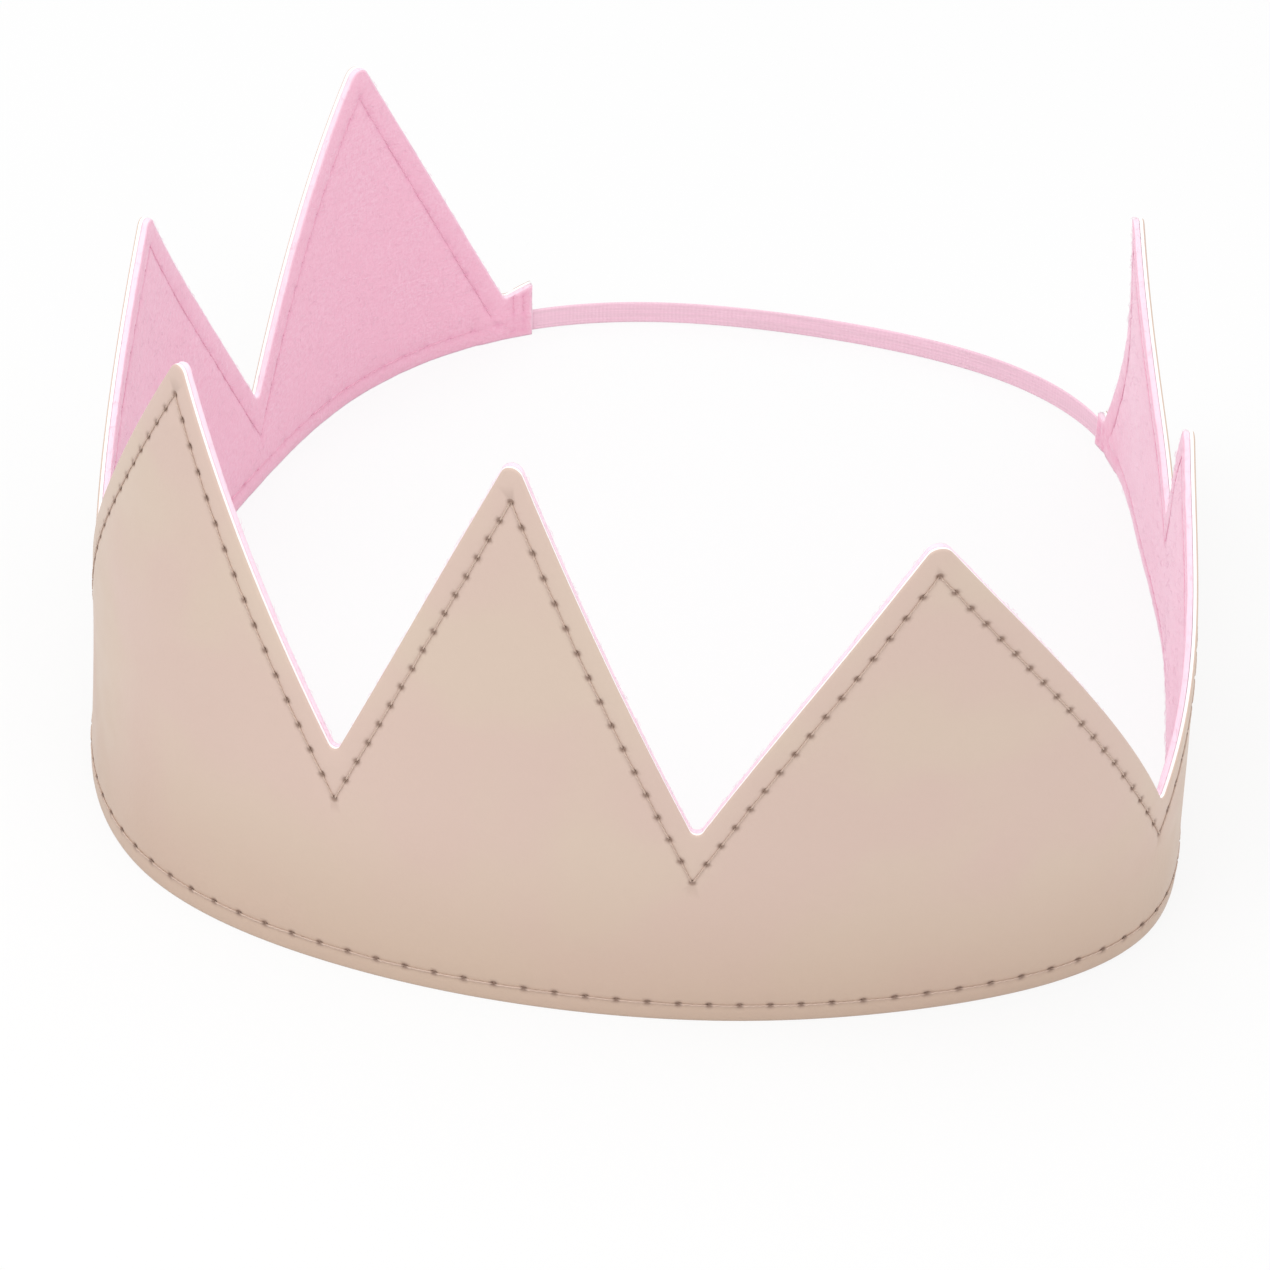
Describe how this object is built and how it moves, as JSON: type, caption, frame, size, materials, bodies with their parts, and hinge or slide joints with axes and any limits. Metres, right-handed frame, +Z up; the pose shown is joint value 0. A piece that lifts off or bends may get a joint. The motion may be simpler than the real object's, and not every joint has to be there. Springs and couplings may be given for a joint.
{
  "type": "dress-up crown",
  "caption": "Pointed dress-up crown: a stitched strip of leatherette lined with felt, bent into an oval loop and closed at the back by a narrow elastic.",
  "frame": {"origin": "centre of the footprint, on the surface that the crown stands on", "axes": "+Z up, the tallest point faces -Y, the elastic is behind at +Y"},
  "size_m": [0.1549, 0.1664, 0.0833],
  "materials": {
    "leatherette": "satin, fine grain, bonded white backing",
    "felt": "matte pressed felt",
    "elastic": "woven flat elastic",
    "needle_thread": "twisted sewing thread",
    "bobbin_thread": "twisted sewing thread"
  },
  "bodies": {
    "root": {"outer_shell": "leatherette", "felt_lining": "felt", "elastic_band": "elastic", "needle_thread": "needle_thread", "bobbin_thread": "bobbin_thread"}
  },
  "joints": []
}
